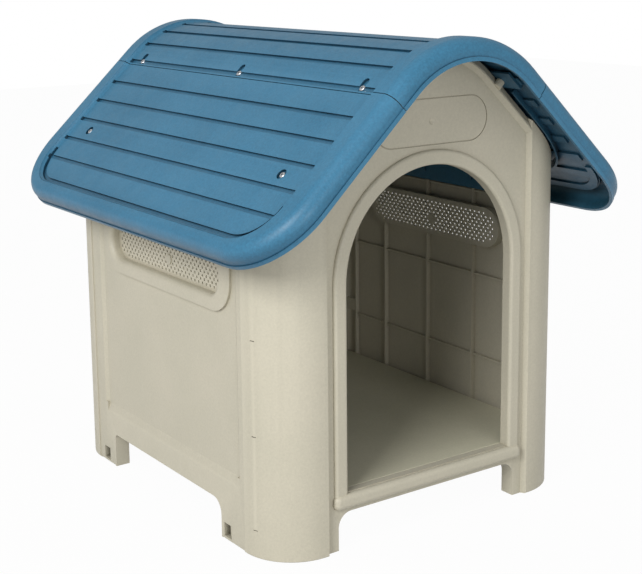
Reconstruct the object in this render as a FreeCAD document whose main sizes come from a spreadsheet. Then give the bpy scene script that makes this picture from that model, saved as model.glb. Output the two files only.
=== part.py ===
"""Dog house of moulded plastic: four walls, a floor and a three-piece roof held by screws.

Frame: X across, Y from the doorway (minus) to the back (plus), Z up, millimetres.
The origin is on the ground, at the middle of the body.
"""
import FreeCAD, Part
import math
import os
import re

Vector = FreeCAD.Vector
Rotation = FreeCAD.Rotation
Placement = FreeCAD.Placement

# ---------------------------------------------------------------- driving dimensions

DIMENSIONS = [
    # roof surface: a round ridge between two straight slopes
    ("ridge_height", 656.5),  # ground to the planked field at the ridge
    ("ridge_radius", 155.0),
    ("roof_slope", 43.5),
    ("roof_half_length", 364.0),
    ("roof_run", 409.0),  # ridge to eave edge, measured over the surface
    ("roof_corner", 100.0),
    ("roof_skin", 3.0),
    # raised rim round the field, and its turned-down skirt
    ("rim_width", 44.0),
    ("rim_raise", 5.5),
    ("rim_round", 17.0),
    ("rim_cove", 10.0),
    ("skirt_depth", 24.0),  # below the field's surface
    ("lip_height", 5.5),
    ("lip_step", 1.5),
    # planks
    ("cap_first_groove", 24.1),
    ("cap_groove_pitch", 37.6),
    ("cap_groove_width", 7.5),
    ("seam_run", 144.7),  # ridge to the joint of cap and side panel
    ("plank_pitch", 39.2),
    ("first_plank", 38.2),
    ("groove_width", 6.5),
    ("groove_depth", 2.6),
    ("field_corner", 60.0),
    ("seam_gap", 1.2),
    # parts under the roof
    ("tongue_length", 27.0),
    ("tongue_setback", 5.0),  # inside the field's two ends
    ("rest_rib_width", 3.0),
    ("ring_offset", 6.5),  # body outline to the ring under the roof
    ("ring_width", 3.0),
    ("ring_height", 8.0),
    ("apron_foot", 412.0),  # lower edge of the blue apron inside the side walls
    ("apron_skin", 3.0),
    ("apron_half_length", 247.0),
    ("gusset_reach", 42.0),
    ("gusset_lift", 6.0),
    # body
    ("body_half_width", 254.0),
    ("body_half_depth", 287.0),
    ("post_skin", 3.5),
    ("post_inner_edge", 173.0),
    ("panel_inset", 7.0),  # gable panel behind the posts' front face
    ("side_inset", 1.5),  # side wall behind the posts' side face
    ("side_skin", 5.2),
    ("seam_depth", 212.0),  # joint of post and side wall, from the middle
    ("flange_skin", 3.2),
    ("wall_clearance", 51.0),  # ground to the lower edge of the walls
    ("flange_depth", 22.0),
    # doorway
    ("door_half_width", 140.0),
    ("door_spring", 353.5),
    ("sill_height", 78.0),
    ("bead_width", 20.0),
    ("bead_proud", 5.0),
    ("bead_round", 4.5),
    ("sill_bar_foot", 57.0),
    ("sill_bar_height", 20.0),
    ("sill_bar_proud", 9.0),
    ("jamb_depth", 12.0),
    # gable
    ("top_flange_depth", 18.0),
    ("foot_round", 2.0),
    ("leg_gap_half_width", 153.0),
    ("leg_gap_corner", 20.0),
    ("plate_height", 550.0),
    ("plate_half_length", 96.0),
    ("plate_half_height", 31.0),
    ("plate_groove", 1.6),
    ("plate_groove_depth", 1.3),
    ("dimple_radius", 8.0),
    ("dimple_depth", 1.3),
    ("rail_foot", 25.5),  # below the field's surface
    ("rail_crest", 20.0),
    ("rail_land", 2.0),
    # snap joints
    ("snap_height", 163.3),
    ("snap_pitch", 126.0),
    ("slit_length", 7.0),
    ("slit_height", 1.1),
    ("slit_setback", 21.0),  # from the seam to the middle of the slit
    ("latch_length", 30.0),
    ("latch_height", 20.0),
    ("latch_skin", 2.5),
    ("barb_proud", 1.2),
    ("barb_height", 4.0),
    # side wall
    ("side_gap_front", 151.0),
    ("side_gap_back", 159.0),
    ("side_gap_front_corner", 20.0),
    ("side_gap_back_corner", 6.0),
    ("peg_slot_width", 18.0),
    ("peg_slot_height", 19.0),
    ("peg_slot_foot", 4.0),
    ("peg_slot_front", 167.0),
    ("peg_slot_back", 188.0),
    ("peg_socket_depth", 20.0),
    ("peg_bar_width", 6.0),
    ("peg_bar_setback", 6.0),
    ("peg_socket_skin", 2.0),
    ("field_front", 193.0),
    ("field_back", 180.0),
    ("field_foot", 97.0),
    ("field_depth", 3.5),
    ("field_bevel", 7.0),
    ("field_foot_bevel", 14.0),
    ("vent_frame_front", 184.0),
    ("vent_frame_back", 170.0),
    ("vent_frame_foot", 309.5),
    ("vent_frame_top", 405.0),
    ("vent_frame_corner", 45.0),
    ("vent_height", 355.5),
    ("vent_half_length", 152.0),
    ("vent_half_height", 27.5),
    ("vent_depth", 15.0),
    ("vent_mouth_round", 8.0),
    ("vent_sleeve_skin", 3.0),
    ("grille_skin", 2.5),
    ("hole_pitch", 10.1),
    ("hole_row", 5.35),
    ("hole_size", 4.0),
    ("grille_boss", 9.0),  # holes stay this far from the boss's middle
    ("grille_boss_radius", 7.0),
    ("grille_boss_proud", 1.5),
    ("rib_depth", 7.3),
    ("rib_width", 3.0),
    ("shelf_depth", 4.0),
    ("rib_shift", 18.0),
    ("rib_pitch", 109.0),
    ("shelf_height", 148.0),
    ("shelf_pitch", 129.5),
    # floor
    ("floor_skin", 3.0),
    ("floor_corner", 60.0),
    ("floor_rib_pitch", 76.0),
    ("floor_rib_width", 2.5),
    ("floor_rib_lift", 6.0),
    ("floor_round", 1.5),
    # fasteners
    ("screw_half_head", 4.5),
    ("screw_head_height", 2.4),
    ("screw_half_shank", 1.9),
    ("screw_length", 12.0),
    ("driver_slot_length", 4.6),
    ("driver_slot_width", 0.9),
    ("driver_slot_depth", 1.2),
    ("recess_depth", 3.2),  # below the field's surface
    ("recess_skin", 2.0),
    ("cap_recess_half_width", 5.5),
    ("cap_recess_up", 15.0),  # screw to the recess's upper end
    ("cap_recess_down", 7.0),
    ("cap_screw_to_seam", 10.2),
    ("cap_screw_reach", 0.5),  # in front of the posts' front face
    ("panel_recess_radius", 7.5),
    ("panel_screw_to_seam", 135.3),
    ("panel_screw_inset", 21.0),  # behind the posts' front face
    ("boss_radius", 6.0),
    ("boss_length", 14.0),
    ("rail_boss_length", 10.0),
    ("middle_boss_length", 8.0),
    # fits
    ("seat_gap", 0.3),
    ("slide_gap", 0.5),
    ("screw_gap", 0.2),
]

doc = FreeCAD.newDocument("dog_house")
sheet = doc.addObject("Spreadsheet::Sheet", "dims")
for row, (alias, size) in enumerate(DIMENSIONS, start=1):
    sheet.set("A%d" % row, alias)
    sheet.set("B%d" % row, str(size))
    sheet.setAlias("B%d" % row, alias)
doc.recompute()

ALIASES = {alias for alias, size in DIMENSIONS}


class Sizes:
    """The sheet's values, read by their aliases."""

    def __getattr__(self, alias):
        return float(sheet.get(alias))


size = Sizes()

# ---------------------------------------------------------------- worked-out sizes

OVERLAP = 0.5  # how far joined shapes run into each other, to fuse cleanly
CUTTER_LIFT = 2.5  # how far the grooves' cutters stand over the field
SLOPE = math.radians(size.roof_slope)
RIDGE_AXIS = size.ridge_height - size.ridge_radius
RIDGE_RUN = size.ridge_radius * SLOPE  # over the round ridge, to where the slope starts
BORDER_RUN = size.seam_run + size.first_plank + 5 * size.plank_pitch
FIELD_HALF = size.roof_half_length - size.rim_width
RIM_FOOT = max(size.roof_skin, size.rim_cove / 2)  # field's end to the rim's hollow
UNDER_GROOVE = size.roof_skin + size.groove_depth
TONGUE_TOP = UNDER_GROOVE + size.seat_gap
TONGUE_FOOT = TONGUE_TOP + size.roof_skin
POST_RADIUS = size.body_half_depth - size.seam_depth
WALL_TOP = TONGUE_FOOT + size.seat_gap  # walls' upper edge, below the field's surface
FLANGE_TOP = size.wall_clearance + size.flange_skin
SIDE_PLANE = size.body_half_width - size.side_inset
PANEL_PLANE = size.body_half_depth - size.panel_inset
SIDE_INNER = SIDE_PLANE - size.side_skin
RIB_EDGE = SIDE_INNER - size.rib_depth
FLOOR_HALF = PANEL_PLANE - max(size.jamb_depth, size.post_skin + size.rib_depth) - size.slide_gap
REST_Y = PANEL_PLANE - size.top_flange_depth / 2
REST_PLACES = (("front", -REST_Y), ("rear", REST_Y))
CAP_SCREW_RUN = size.seam_run - size.cap_screw_to_seam
CAP_SCREW_Y = size.body_half_depth + size.cap_screw_reach
PANEL_SCREW_RUN = size.seam_run + size.panel_screw_to_seam
PANEL_SCREW_Y = size.body_half_depth - size.panel_screw_inset
HOLE_RADIUS = size.screw_half_shank + size.screw_gap
POST_MIDDLE = size.body_half_width - POST_RADIUS / 4
HALF_ROOT = math.sqrt(0.5)
POST_KEYS = ("side", "middle", "front", "step", "panel")


def roof_point(run, lift=0.0):
    """X and Z on the right half of the roof: run over the surface, lift off it."""
    if run <= RIDGE_RUN:
        turn = run / size.ridge_radius
        reach = size.ridge_radius + lift
        return reach * math.sin(turn), RIDGE_AXIS + reach * math.cos(turn)
    start_x, start_z = roof_point(RIDGE_RUN, lift)
    along = run - RIDGE_RUN
    return start_x + along * math.cos(SLOPE), start_z - along * math.sin(SLOPE)


def field_height(x):
    """Height of the straight slope's field over a place x from the middle."""
    start_x, start_z = roof_point(RIDGE_RUN)
    return start_z - (x - start_x) * math.tan(SLOPE)


# ---------------------------------------------------------------- document helpers


def formula(text):
    """Puts the sheet's name before each alias in an expression."""

    def named(word):
        return "dims." + word.group() if word.group() in ALIASES else word.group()

    return re.sub(r"[a-z_]+", named, text)


def bind(thing, **formulas):
    """Ties properties of an object to the sheet; plain numbers are allowed."""
    for name, text in formulas.items():
        thing.setExpression(name.replace("__", "."), formula(str(text)))
    return thing


def box(name, at, extent):
    made = doc.addObject("Part::Box", name)
    bind(made, Length=extent[0], Width=extent[1], Height=extent[2])
    return bind(made, Placement__Base__x=at[0], Placement__Base__y=at[1], Placement__Base__z=at[2])


def cylinder(name, at, radius, height):
    made = doc.addObject("Part::Cylinder", name)
    bind(made, Radius=radius, Height=height)
    return bind(made, Placement__Base__x=at[0], Placement__Base__y=at[1], Placement__Base__z=at[2])


def fuse(name, pieces):
    made = doc.addObject("Part::MultiFuse", name)
    made.Shapes = pieces
    return made


def cut(name, base, tools):
    made = doc.addObject("Part::Cut", name)
    made.Base = base
    made.Tool = tools[0] if len(tools) == 1 else fuse(name + "_tools", tools)
    return made


def common(name, pieces):
    made = doc.addObject("Part::MultiCommon", name)
    made.Shapes = pieces
    return made


PLANES = {
    # sketch x and y on the document's axes, and the way an extrusion goes
    "plan": (Rotation(), Vector(0, 0, 1)),  # x, y, up
    "front": (Rotation(Vector(1, 0, 0), 90), Vector(0, 1, 0)),  # x, z, backward
    "side": (Rotation(Vector(1, 1, 1), 120), Vector(1, 0, 0)),  # y, z, to the right
}


def extrusion(name, plane, outlines, start, length):
    """A prism of closed outlines, drawn in a sketch on the plane, from start over length."""
    turn, way = PLANES[plane]
    drawing = doc.addObject("Sketcher::SketchObject", name + "_sketch")
    drawing.addGeometry([curve for outline in outlines for curve in outline])
    drawing.Placement = Placement(way * start, turn)
    made = doc.addObject("Part::Extrusion", name)
    made.Base = drawing
    made.DirMode = "Custom"
    made.Dir = way
    made.LengthFwd = length
    made.Solid = True
    return made


def feature(name, shape):
    made = doc.addObject("Part::Feature", name)
    made.Shape = shape
    return made


def rounded_edges(name, base, radius, wanted):
    """Fillets each edge of base that wanted(edge) picks."""
    doc.recompute()
    made = doc.addObject("Part::Fillet", name)
    made.Base = base
    picked = [place for place, edge in enumerate(base.Shape.Edges, start=1) if wanted(edge)]
    made.Edges = [(place, radius, radius) for place in picked]
    return made


def on_plane(axis, value):
    """Test for edges that lie whole in one plane square to an axis."""

    def test(edge):
        box_of_edge = edge.BoundBox
        low = getattr(box_of_edge, axis + "Min")
        high = getattr(box_of_edge, axis + "Max")
        return abs(low - value) < 0.01 and abs(high - value) < 0.01

    return test


# ---------------------------------------------------------------- outlines


def line(start, end):
    return Part.LineSegment(Vector(*start, 0), Vector(*end, 0))


def arc(start, middle, end):
    return Part.Arc(Vector(*start, 0), Vector(*middle, 0), Vector(*end, 0))


def polygon(points):
    return [line(points[place - 1], points[place]) for place in range(len(points))]


def corner_arc(centre, radius, start_angle, end_angle):
    """Arc about a centre, angles in degrees from the sketch's x."""
    points = []
    for angle in (start_angle, (start_angle + end_angle) / 2, end_angle):
        turn = math.radians(angle)
        points.append((centre[0] + radius * math.cos(turn), centre[1] + radius * math.sin(turn)))
    return arc(*points)


def rounded_box(low, high, radii):
    """Rectangle with a radius for each corner, from the low corner round counter-clockwise."""
    (x0, y0), (x1, y1) = low, high
    corners = [(x0, y0, 180), (x1, y0, 270), (x1, y1, 0), (x0, y1, 90)]
    centres = []
    for (x, y, angle), radius in zip(corners, radii):
        inward_x = radius if x == x0 else -radius
        inward_y = radius if y == y0 else -radius
        centres.append(((x + inward_x, y + inward_y), radius, angle))
    curves = []
    for place, (centre, radius, angle) in enumerate(centres):
        turn = math.radians(angle)
        start = (centre[0] + radius * math.cos(turn), centre[1] + radius * math.sin(turn))
        before, before_radius, before_angle = centres[place - 1]
        turn = math.radians(before_angle + 90)
        end_before = (before[0] + before_radius * math.cos(turn), before[1] + before_radius * math.sin(turn))
        if math.dist(end_before, start) > 1e-6:
            curves.append(line(end_before, start))
        if radius > 0:
            curves.append(corner_arc(centre, radius, angle, angle + 90))
    return curves


def stadium(middle, half_length, half_height):
    low = (middle[0] - half_length, middle[1] - half_height)
    high = (middle[0] + half_length, middle[1] + half_height)
    return rounded_box(low, high, [half_height] * 4)


def arch(half_width, foot, spring):
    """Doorway outline: straight sides from foot to spring, and a half round head."""
    head = (0.0, spring + half_width)
    return [
        line((-half_width, foot), (half_width, foot)),
        line((half_width, foot), (half_width, spring)),
        arc((half_width, spring), head, (-half_width, spring)),
        line((-half_width, spring), (-half_width, foot)),
    ]


def mirrored(points):
    return [(-x, z) for x, z in points]


def roof_band(upper, lower, run):
    """Closed outline between two lifts off the field's surface, over both slopes."""

    def half(lift):
        return roof_point(run, lift), roof_point(RIDGE_RUN, lift), roof_point(0.0, lift)

    top_end, top_bend, top_crown = half(upper)
    low_end, low_bend, low_crown = half(lower)
    left_top_end, left_top_bend = mirrored([top_end, top_bend])
    left_low_end, left_low_bend = mirrored([low_end, low_bend])
    return [
        line(top_end, top_bend),
        arc(top_bend, top_crown, left_top_bend),
        line(left_top_bend, left_top_end),
        line(left_top_end, left_low_end),
        line(left_low_end, left_low_bend),
        arc(left_low_bend, low_crown, low_bend),
        line(low_bend, low_end),
        line(low_end, top_end),
    ]


def under_roof(lift):
    """Outline of everything lower than a lift off the field's surface."""
    end, bend, crown = roof_point(size.roof_run, lift), roof_point(RIDGE_RUN, lift), roof_point(0.0, lift)
    left_end, left_bend = mirrored([end, bend])
    ground = -1.0
    return [
        line(end, bend),
        arc(bend, crown, left_bend),
        line(left_bend, left_end),
        line(left_end, (left_end[0], ground)),
        line((left_end[0], ground), (end[0], ground)),
        line((end[0], ground), end),
    ]


def body_outline(offset):
    """The body's rounded rectangle seen from above, moved outward by offset."""
    half_width = size.body_half_width + offset
    half_depth = size.body_half_depth + offset
    return rounded_box((-half_width, -half_depth), (half_width, half_depth), [POST_RADIUS + offset] * 4)


# ---------------------------------------------------------------- roof


def groove_cutters(name, runs, width, half_length):
    """Square channels cut into the round and straight parts of the right half of the roof."""
    made = []
    for number, run in enumerate(runs):
        corners = [
            roof_point(run - width / 2, CUTTER_LIFT),
            roof_point(run + width / 2, CUTTER_LIFT),
            roof_point(run + width / 2, -size.groove_depth),
            roof_point(run - width / 2, -size.groove_depth),
        ]
        channel_name = "%s_%d" % (name, number)
        made.append(extrusion(channel_name, "front", [polygon(corners)], -half_length, 2 * half_length))
    return made


def groove_backing(name, runs, width, half_length):
    """Ribs under the field that keep its thickness below each groove."""
    made = []
    half = width / 2 + size.roof_skin
    for number, run in enumerate(runs):
        corners = [
            roof_point(run - half, -size.roof_skin + OVERLAP),
            roof_point(run + half, -size.roof_skin + OVERLAP),
            roof_point(run + half, -UNDER_GROOVE),
            roof_point(run - half, -UNDER_GROOVE),
        ]
        rib_name = "%s_%d" % (name, number)
        made.append(extrusion(rib_name, "front", [polygon(corners)], -half_length, 2 * half_length))
    return made


def mirror_right(name, source):
    made = doc.addObject("Part::Mirroring", name)
    made.Source = source
    made.Normal = Vector(1, 0, 0)
    return made


def on_slope(name, outlines, low, high):
    """A prism on the right slope: outlines in run and y, from lift low to lift high."""
    drawing = doc.addObject("Sketcher::SketchObject", name + "_sketch")
    drawing.addGeometry([curve for outline in outlines for curve in outline])
    foot_x, foot_z = roof_point(RIDGE_RUN, low)
    lean = Rotation(Vector(0, 1, 0), size.roof_slope)
    drawing.Placement = Placement(Vector(foot_x, 0, foot_z), lean)
    made = doc.addObject("Part::Extrusion", name)
    made.Base = drawing
    made.DirMode = "Custom"
    made.Dir = Vector(math.sin(SLOPE), 0, math.cos(SLOPE))
    made.LengthFwd = high - low
    made.Solid = True
    return made


def round_on_slope(name, run, y, radius, low, high):
    """A cylinder square to the right slope."""
    circle = Part.Circle(Vector(run - RIDGE_RUN, y, 0), Vector(0, 0, 1), radius)
    return on_slope(name, [[circle]], low, high)


def cap_recess(name, y, grow, low, high):
    """Long slot round a cap screw, in the slope's direction; grow widens it."""
    radius = size.cap_recess_half_width + grow
    top = (CAP_SCREW_RUN - size.cap_recess_up - grow - RIDGE_RUN, y - radius)
    foot = (CAP_SCREW_RUN + size.cap_recess_down + grow - RIDGE_RUN, y + radius)
    return on_slope(name, [rounded_box(top, foot, [radius] * 4)], low, high)


CAP_SCREW_PLACES = [("front", -CAP_SCREW_Y), ("middle", 0.0), ("rear", CAP_SCREW_Y)]
PANEL_SCREW_PLACES = [("front", -PANEL_SCREW_Y), ("rear", PANEL_SCREW_Y)]
CAP_GROOVES = [size.cap_first_groove + place * size.cap_groove_pitch for place in range(4)]
CAP_RUN = size.seam_run - size.seam_gap


def roof_cap():
    """Ridge cap: planked field, raised rims at both ends, slots for six screws."""
    length = 2 * size.roof_half_length
    start = -size.roof_half_length
    skirt_start = start + size.lip_step
    skirt_length = length - 2 * size.lip_step
    body_band = roof_band(size.rim_raise, -size.skirt_depth, CAP_RUN)
    body = extrusion("cap_body", "front", [body_band], skirt_start, skirt_length)

    def outer_rim(edge):
        at_end = on_plane("Y", skirt_start)(edge) or on_plane("Y", -skirt_start)(edge)
        middle = edge.valueAt((edge.FirstParameter + edge.LastParameter) / 2)
        return at_end and lift_of(middle) > size.rim_raise - 0.05

    outer = rounded_edges("cap_outer", body, size.rim_round, outer_rim)
    lip_band = roof_band(size.lip_height - size.skirt_depth, -size.skirt_depth, CAP_RUN)
    lip = extrusion("cap_lip", "front", [lip_band], start, length)
    whole = fuse("cap_whole", [outer, lip])

    inner_start = skirt_start + size.roof_skin
    hollow_top = size.rim_raise - size.roof_skin
    past_seam = CAP_RUN + 5.0
    hollow_band = roof_band(hollow_top, -size.skirt_depth - 5.0, past_seam)
    hollow = extrusion("cap_hollow", "front", [hollow_band], inner_start, -2 * inner_start)

    def inner_rim(edge):
        at_end = on_plane("Y", inner_start)(edge) or on_plane("Y", -inner_start)(edge)
        middle = edge.valueAt((edge.FirstParameter + edge.LastParameter) / 2)
        return at_end and lift_of(middle) > hollow_top - 0.05

    hollow_round = rounded_edges("cap_hollow_round", hollow, size.rim_round - size.roof_skin, inner_rim)
    field_edge = FIELD_HALF + RIM_FOOT
    slab_band = roof_band(size.rim_raise + 1.0, -size.roof_skin, past_seam)
    slab = extrusion("cap_slab", "front", [slab_band], -field_edge, 2 * field_edge)
    cavity = cut("cap_cavity", hollow_round, [slab])

    cove_edge = FIELD_HALF + size.rim_cove / 2
    field_band = roof_band(size.rim_raise + size.rim_cove, 0.0, past_seam)
    field = extrusion("cap_field", "front", [field_band], -cove_edge, 2 * cove_edge)

    def field_foot(edge):
        at_end = on_plane("Y", -cove_edge)(edge) or on_plane("Y", cove_edge)(edge)
        middle = edge.valueAt((edge.FirstParameter + edge.LastParameter) / 2)
        return at_end and abs(lift_of(middle)) < 0.05

    field_cove = rounded_edges("cap_field_cove", field, size.rim_cove, field_foot)
    grooves = groove_cutters("cap_groove", CAP_GROOVES, size.cap_groove_width, FIELD_HALF)
    grooves = grooves + [mirror_right(groove.Name + "_left", groove) for groove in grooves]
    shell = cut("cap_shell", whole, [cavity])

    backing = groove_backing("cap_backing", CAP_GROOVES, size.cap_groove_width, FIELD_HALF)
    backing = backing + [mirror_right(rib.Name + "_left", rib) for rib in backing]
    rests = []
    tongue_end = size.seam_run - size.tongue_length - size.slide_gap
    rest_band = roof_band(-size.roof_skin + OVERLAP, -TONGUE_FOOT, tongue_end)
    for end, y in REST_PLACES:
        rest_start = y - size.rest_rib_width / 2
        rests.append(extrusion("cap_rest_" + end, "front", [rest_band], rest_start, size.rest_rib_width))

    floors = []
    wells = []
    for end, y in CAP_SCREW_PLACES:
        floor_name = "cap_recess_floor_" + end
        floors.append(cap_recess(floor_name, y, size.recess_skin, -UNDER_GROOVE, -size.roof_skin + OVERLAP))
        wells.append(cap_recess("cap_recess_" + end, y, 0.0, -size.recess_depth, 1.0))
        hole_foot = -UNDER_GROOVE - 1.0
        wells.append(round_on_slope("cap_hole_" + end, CAP_SCREW_RUN, y, HOLE_RADIUS, hole_foot, 0.0))
    floors += [mirror_right(floor.Name + "_left", floor) for floor in floors]
    wells += [mirror_right(well.Name + "_left", well) for well in wells]
    built = fuse("cap_built", [shell] + backing + rests + floors)
    return cut("roof_cap", built, [field_cove] + grooves + wells)


def lift_of(point):
    """How far a point lies off the field's surface."""
    x, z = abs(point.x), point.z - RIDGE_AXIS
    if math.atan2(x, z) < SLOPE:
        return math.hypot(x, z) - size.ridge_radius
    return x * math.sin(SLOPE) + z * math.cos(SLOPE) - size.ridge_radius


def slope_outline(start_run, end_run, half_length, corner):
    """Panel outline in run and y, with the two eave corners rounded."""
    low = (start_run - RIDGE_RUN, -half_length)
    high = (end_run - RIDGE_RUN, half_length)
    return rounded_box(low, high, [0.0, corner, corner, 0.0])


def roof_panel():
    """Right side panel of the roof, with its planks, rim, skirt and what hangs under it."""
    run = size.roof_run
    half = size.roof_half_length
    corner = size.roof_corner
    step = size.lip_step
    skirt = slope_outline(size.seam_run, run - step, half - step, corner - step)
    body = on_slope("panel_body", [skirt], -size.skirt_depth, size.rim_raise)

    def top_rim(level, seam):
        def test(edge):
            middle = edge.valueAt((edge.FirstParameter + edge.LastParameter) / 2)
            at_seam = abs((middle - seam).dot(Vector(math.cos(SLOPE), 0, -math.sin(SLOPE)))) < 0.05
            flat = abs(lift_of(edge.valueAt(edge.FirstParameter)) - level) < 0.02
            flat = flat and abs(lift_of(edge.valueAt(edge.LastParameter)) - level) < 0.02
            return flat and not at_seam

        return test

    seam_x, seam_z = roof_point(size.seam_run)
    seam = Vector(seam_x, 0, seam_z)
    outer = rounded_edges("panel_outer", body, size.rim_round, top_rim(size.rim_raise, seam))
    lip_outline = slope_outline(size.seam_run, run, half, corner)
    lip = on_slope("panel_lip", [lip_outline], -size.skirt_depth, size.lip_height - size.skirt_depth)
    whole = fuse("panel_whole", [outer, lip])

    inset = step + size.roof_skin
    hollow_top = size.rim_raise - size.roof_skin
    before_seam = size.seam_run - 5.0
    hollow_outline = slope_outline(before_seam, run - inset, half - inset, corner - inset)
    hollow = on_slope("panel_hollow", [hollow_outline], -size.skirt_depth - 5.0, hollow_top)
    before_x, before_z = roof_point(before_seam)
    before = Vector(before_x, 0, before_z)
    hollow_round = rounded_edges(
        "panel_hollow_round", hollow, size.rim_round - size.roof_skin, top_rim(hollow_top, before)
    )
    border = BORDER_RUN + size.groove_width / 2
    field_corner = size.field_corner
    slab_outline = slope_outline(
        before_seam - 1.0, border + RIM_FOOT, FIELD_HALF + RIM_FOOT, field_corner + RIM_FOOT
    )
    slab = on_slope("panel_slab", [slab_outline], -size.roof_skin, size.rim_raise + 1.0)
    cavity = cut("panel_cavity", hollow_round, [slab])

    cove = size.rim_cove / 2
    field_outline = slope_outline(before_seam - 1.0, border + cove, FIELD_HALF + cove, field_corner + cove)
    field = on_slope("panel_field", [field_outline], 0.0, size.rim_raise + size.rim_cove)
    far_x, far_z = roof_point(before_seam - 1.0)
    far = Vector(far_x, 0, far_z)
    field_cove = rounded_edges("panel_field_cove", field, size.rim_cove, top_rim(0.0, far))

    runs = [size.seam_run + size.first_plank + place * size.plank_pitch for place in range(5)]
    grooves = groove_cutters("panel_groove", runs, size.groove_width, FIELD_HALF)
    half_groove = size.groove_width / 2
    border_start = border - field_corner
    ring_outer = slope_outline(border_start, border, FIELD_HALF, field_corner)
    inset_groove = size.groove_width
    ring_inner = slope_outline(
        border_start - 1.0, border - inset_groove, FIELD_HALF - inset_groove, field_corner - inset_groove
    )
    border_whole = on_slope("panel_border_whole", [ring_outer], -size.groove_depth, CUTTER_LIFT)
    core_top = CUTTER_LIFT + 1.0
    border_core = on_slope("panel_border_core", [ring_inner], -size.groove_depth - 1.0, core_top)
    grooves.append(cut("panel_border", border_whole, [border_core]))
    shell = cut("panel_shell", whole, [cavity])

    parts = [shell]
    parts += groove_backing("panel_backing", runs, size.groove_width, FIELD_HALF - half_groove)
    backing_outer = slope_outline(
        border_start, border + size.roof_skin, FIELD_HALF + size.roof_skin, field_corner + size.roof_skin
    )
    deep_inset = size.groove_width + size.roof_skin
    backing_inner = slope_outline(
        border_start - 1.0, border - deep_inset, FIELD_HALF - deep_inset, field_corner - deep_inset
    )
    backing_whole = on_slope("panel_back_whole", [backing_outer], -UNDER_GROOVE, -size.roof_skin + OVERLAP)
    backing_core = on_slope("panel_back_core", [backing_inner], -UNDER_GROOVE - 1.0, 1.0)
    parts.append(cut("panel_border_back", backing_whole, [backing_core]))

    # tongue under the cap, joggled down past the cap's groove
    tongue_half = FIELD_HALF - size.tongue_setback
    tongue_start = size.seam_run - size.tongue_length
    tongue_outline = slope_outline(tongue_start, size.seam_run + size.roof_skin + 1.0, tongue_half, 0.0)
    parts.append(on_slope("panel_tongue", [tongue_outline], -TONGUE_FOOT, -TONGUE_TOP))
    joggle_outline = slope_outline(size.seam_run, size.seam_run + size.roof_skin + 1.0, tongue_half, 0.0)
    parts.append(on_slope("panel_joggle", [joggle_outline], -TONGUE_FOOT, -size.roof_skin + OVERLAP))

    # ribs that rest on the gables
    rest_reach = size.body_half_width - POST_RADIUS / 2 - roof_point(RIDGE_RUN)[0]
    rest_end = RIDGE_RUN + rest_reach / math.cos(SLOPE)
    for end, y in REST_PLACES:
        rest_low = (size.seam_run - RIDGE_RUN, y - size.rest_rib_width / 2)
        rest_high = (rest_end - RIDGE_RUN, y + size.rest_rib_width / 2)
        rest_outline = rounded_box(rest_low, rest_high, [0.0] * 4)
        parts.append(on_slope("panel_rest_" + end, [rest_outline], -TONGUE_FOOT, -size.roof_skin + OVERLAP))

    # ring round the body's outline
    ring_top = size.ridge_height
    ring_start = roof_point(size.seam_run + 10.0)[0]
    ring_foot = 300.0
    ring = extrusion(
        "panel_ring",
        "plan",
        [body_outline(size.ring_offset + size.ring_width), body_outline(size.ring_offset)],
        ring_foot,
        ring_top - ring_foot,
    )
    ring_slab = on_slope(
        "panel_ring_slab",
        [slope_outline(size.seam_run + 10.0, BORDER_RUN, half - 2 * inset, 0.0)],
        -size.roof_skin - size.ring_height,
        -size.roof_skin + OVERLAP,
    )
    parts.append(common("panel_ring_cut", [ring, ring_slab]))

    # apron inside the side wall, with its gussets
    apron_outer = RIB_EDGE - size.slide_gap
    apron_half = size.apron_half_length
    under = size.roof_skin
    apron_top = field_height(apron_outer) - under / math.cos(SLOPE) + 2.0
    apron_back_top = field_height(apron_outer - size.apron_skin) - under / math.cos(SLOPE) + 1.0
    apron_profile = polygon(
        [
            (apron_outer, size.apron_foot),
            (apron_outer, apron_top),
            (apron_outer - size.apron_skin, apron_back_top),
            (apron_outer - size.apron_skin, size.apron_foot),
        ]
    )
    parts.append(extrusion("panel_apron", "front", [apron_profile], -apron_half, 2 * apron_half))
    gusset_inner = apron_outer - size.gusset_reach
    gusset_top = field_height(gusset_inner) - under / math.cos(SLOPE) + 1.0
    gusset_profile = polygon(
        [
            (apron_outer - 1.0, size.apron_foot + size.gusset_lift),
            (apron_outer - 1.0, apron_top),
            (gusset_inner, gusset_top),
        ]
    )
    for place in (-1, 0, 1):
        gusset_start = size.rib_shift + place * size.rib_pitch - size.rib_width / 2
        gusset_name = "panel_gusset_%d" % (place + 2)
        parts.append(extrusion(gusset_name, "front", [gusset_profile], gusset_start, size.rib_width))

    # recesses over the panel's own screws, and the boss that the middle cap screw bites
    wells = [field_cove] + grooves
    recess = size.panel_recess_radius
    for end, y in PANEL_SCREW_PLACES:

        def at_screw(name, radius, low, high):
            return round_on_slope(name + end, PANEL_SCREW_RUN, y, radius, low, high)

        floor_top = -size.roof_skin + OVERLAP
        parts.append(at_screw("panel_floor_", recess + size.recess_skin, -UNDER_GROOVE, floor_top))
        parts.append(at_screw("panel_spacer_", size.boss_radius, -TONGUE_FOOT, -size.roof_skin))
        wells.append(at_screw("panel_recess_", recess, -size.recess_depth, 1.0))
        wells.append(at_screw("panel_hole_", HOLE_RADIUS, -TONGUE_FOOT - 1.0, 0.0))
    boss_foot = -TONGUE_FOOT - size.middle_boss_length
    parts.append(round_on_slope("panel_boss", CAP_SCREW_RUN, 0.0, size.boss_radius, boss_foot, -TONGUE_TOP))
    for end, y in CAP_SCREW_PLACES:
        pilot_name = "panel_pilot_" + end
        wells.append(round_on_slope(pilot_name, CAP_SCREW_RUN, y, HOLE_RADIUS, boss_foot - 1.0, -1.0))
    built = fuse("panel_built", parts)
    return cut("roof_panel_right", built, wells)


# ---------------------------------------------------------------- gable walls


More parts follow.
